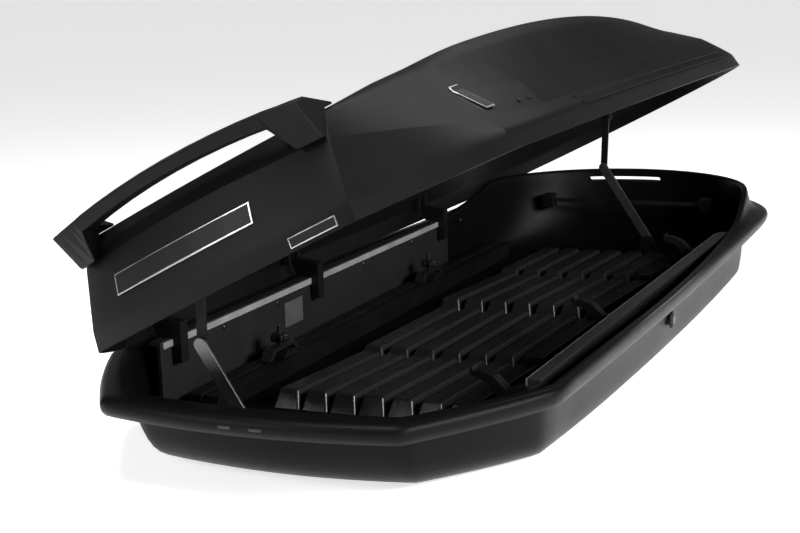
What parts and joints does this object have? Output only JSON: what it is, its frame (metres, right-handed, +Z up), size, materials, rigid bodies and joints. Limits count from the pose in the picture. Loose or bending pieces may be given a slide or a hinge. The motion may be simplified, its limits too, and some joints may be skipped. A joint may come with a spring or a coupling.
{
  "type": "roof cargo box",
  "caption": "Long black roof cargo box with ribbed tray, lid raised on side hooks, rear wing, folding lifters, lock bars, sliding crossbar clamps and a key lock.",
  "frame": {"origin": "middle of the flat underside of the tray", "axes": "+X along the box to its nose, +Y to its left side where the lid hinges, +Z up"},
  "size_m": [2.405, 0.867, 0.692],
  "materials": {
    "black_abs": "fine-grained satin ABS",
    "black_nylon": "matt moulded nylon",
    "dark_steel": "dark satin coated steel",
    "bright_aluminium": "brushed",
    "grey_plate": "blank satin grey plate"
  },
  "bodies": {
    "tray": {"tray": "black_abs", "rail_left": "black_nylon", "rail_right": "black_nylon", "side_panel_left": "black_nylon", "side_panel_right": "black_nylon", "lock_bar_left": "bright_aluminium", "hinge_hook_rear": "black_nylon", "hinge_hook_middle": "black_nylon", "hinge_hook_front": "black_nylon", "rod_block_left": "black_nylon", "rod_block_right": "black_nylon", "tie_rod": "dark_steel", "lifter_rear_foot": "black_nylon", "lifter_front_foot": "black_nylon", "lock_ring": "black_nylon"},
    "lid": {"lid": "black_abs", "rear_wing": "black_abs", "hinge_pin_rear": "dark_steel", "hinge_pin_middle": "dark_steel", "hinge_pin_front": "dark_steel", "catch_pin_rear": "dark_steel", "catch_pin_middle": "dark_steel", "catch_pin_front": "dark_steel", "rear_plate": "grey_plate", "model_plate": "grey_plate", "side_plate": "grey_plate", "lid_frame_rear": "black_nylon", "lid_frame_front": "black_nylon", "lifter_rear_bracket": "black_nylon", "lifter_front_bracket": "black_nylon"},
    "lock": {"lock_cylinder": "bright_aluminium"},
    "lock_bar": {"lock_bar_right": "bright_aluminium"},
    "lifter_rear_arm": {"lifter_rear_arm": "dark_steel"},
    "lifter_rear_link": {"lifter_rear_link": "black_nylon"},
    "lifter_front_arm": {"lifter_front_arm": "dark_steel"},
    "lifter_front_link": {"lifter_front_link": "black_nylon"},
    "latch_rear": {"latch_rear": "black_nylon"},
    "latch_middle": {"latch_middle": "black_nylon"},
    "latch_front": {"latch_front": "black_nylon"},
    "clamp_rear_left": {"clamp_rear_left_saddle": "black_nylon", "clamp_rear_left_claw": "dark_steel", "clamp_rear_left_stud": "dark_steel"},
    "knob_rear_left": {"clamp_rear_left_knob": "black_nylon"},
    "clamp_front_left": {"clamp_front_left_saddle": "black_nylon", "clamp_front_left_claw": "dark_steel", "clamp_front_left_stud": "dark_steel"},
    "knob_front_left": {"clamp_front_left_knob": "black_nylon"},
    "clamp_rear_right": {"clamp_rear_right_saddle": "black_nylon", "clamp_rear_right_claw": "dark_steel", "clamp_rear_right_stud": "dark_steel"},
    "knob_rear_right": {"clamp_rear_right_knob": "black_nylon"},
    "clamp_front_right": {"clamp_front_right_saddle": "black_nylon", "clamp_front_right_claw": "dark_steel", "clamp_front_right_stud": "dark_steel"},
    "knob_front_right": {"clamp_front_right_knob": "black_nylon"}
  },
  "joints": [
    {"name": "lid_hinge", "type": "hinge", "parent": "tray", "child": "lid", "pos_m": [0, 0.401, 0.185], "axis": [1, 0, 0], "range_deg": [0, 26.5]},
    {"name": "lifter_rear_foot_pivot", "type": "hinge", "parent": "tray", "child": "lifter_rear_arm", "pos_m": [-1.008, 0.063, 0.026], "axis": [1, 0, 0], "range_deg": [-25.6, 0]},
    {"name": "lifter_rear_lid_pivot", "type": "hinge", "parent": "lid", "child": "lifter_rear_link", "pos_m": [-1.008, 0.17, 0.337], "axis": [1, 0, 0], "range_deg": [0, 26.1]},
    {"name": "lifter_front_foot_pivot", "type": "hinge", "parent": "tray", "child": "lifter_front_arm", "pos_m": [0.93, -0.072, 0.036], "axis": [1, 0, 0], "range_deg": [-28.5, 0]},
    {"name": "lifter_front_lid_pivot", "type": "hinge", "parent": "lid", "child": "lifter_front_link", "pos_m": [0.93, 0.048, 0.369], "axis": [1, 0, 0], "range_deg": [0, 42]},
    {"name": "lock_turn", "type": "hinge", "parent": "tray", "child": "lock", "pos_m": [-0.105, -0.39, 0.073], "axis": [0, 1, 0], "range_deg": [0, 90.5]},
    {"name": "lock_bar_slide", "type": "slide", "parent": "tray", "child": "lock_bar", "axis": [1, 0, 0], "range_m": [0, 0.012]},
    {"name": "latch_rear_pivot", "type": "hinge", "parent": "tray", "child": "latch_rear", "pos_m": [-0.8, -0.338, 0.11], "axis": [1, 0, 0], "range_deg": [0, 110.5]},
    {"name": "latch_middle_pivot", "type": "hinge", "parent": "tray", "child": "latch_middle", "pos_m": [-0.24, -0.338, 0.11], "axis": [1, 0, 0], "range_deg": [0, 110.5]},
    {"name": "latch_front_pivot", "type": "hinge", "parent": "tray", "child": "latch_front", "pos_m": [0.47, -0.338, 0.11], "axis": [1, 0, 0], "range_deg": [0, 110.5]},
    {"name": "clamp_rear_left_slide", "type": "slide", "parent": "tray", "child": "clamp_rear_left", "axis": [1, 0, 0], "range_m": [-0.05, 0.05]},
    {"name": "knob_rear_left_turn", "type": "hinge", "parent": "clamp_rear_left", "child": "knob_rear_left", "pos_m": [-0.5, 0.298, 0.08], "axis": [0, 0, 1], "continuous": true},
    {"name": "clamp_front_left_slide", "type": "slide", "parent": "tray", "child": "clamp_front_left", "axis": [1, 0, 0], "range_m": [-0.05, 0.05]},
    {"name": "knob_front_left_turn", "type": "hinge", "parent": "clamp_front_left", "child": "knob_front_left", "pos_m": [0.27, 0.298, 0.08], "axis": [0, 0, 1], "continuous": true},
    {"name": "clamp_rear_right_slide", "type": "slide", "parent": "tray", "child": "clamp_rear_right", "axis": [1, 0, 0], "range_m": [-0.05, 0.05]},
    {"name": "knob_rear_right_turn", "type": "hinge", "parent": "clamp_rear_right", "child": "knob_rear_right", "pos_m": [-0.5, -0.298, 0.08], "axis": [0, 0, 1], "continuous": true},
    {"name": "clamp_front_right_slide", "type": "slide", "parent": "tray", "child": "clamp_front_right", "axis": [1, 0, 0], "range_m": [-0.05, 0.05]},
    {"name": "knob_front_right_turn", "type": "hinge", "parent": "clamp_front_right", "child": "knob_front_right", "pos_m": [0.27, -0.298, 0.08], "axis": [0, 0, 1], "continuous": true}
  ],
  "couplings": [
    {"joint": "lifter_rear_foot_pivot", "follows": "lid_hinge", "ratio": -0.9627},
    {"joint": "lifter_rear_lid_pivot", "follows": "lid_hinge", "ratio": 0.98},
    {"joint": "lifter_front_foot_pivot", "follows": "lid_hinge", "ratio": -1.0709},
    {"joint": "lifter_front_lid_pivot", "follows": "lid_hinge", "ratio": 1.5787},
    {"joint": "lock_turn", "follows": "lock_bar_slide", "rad_per_m": 130.9},
    {"joint": "latch_rear_pivot", "follows": "lock_bar_slide", "rad_per_m": 160},
    {"joint": "latch_middle_pivot", "follows": "lock_bar_slide", "rad_per_m": 160},
    {"joint": "latch_front_pivot", "follows": "lock_bar_slide", "rad_per_m": 160}
  ]
}
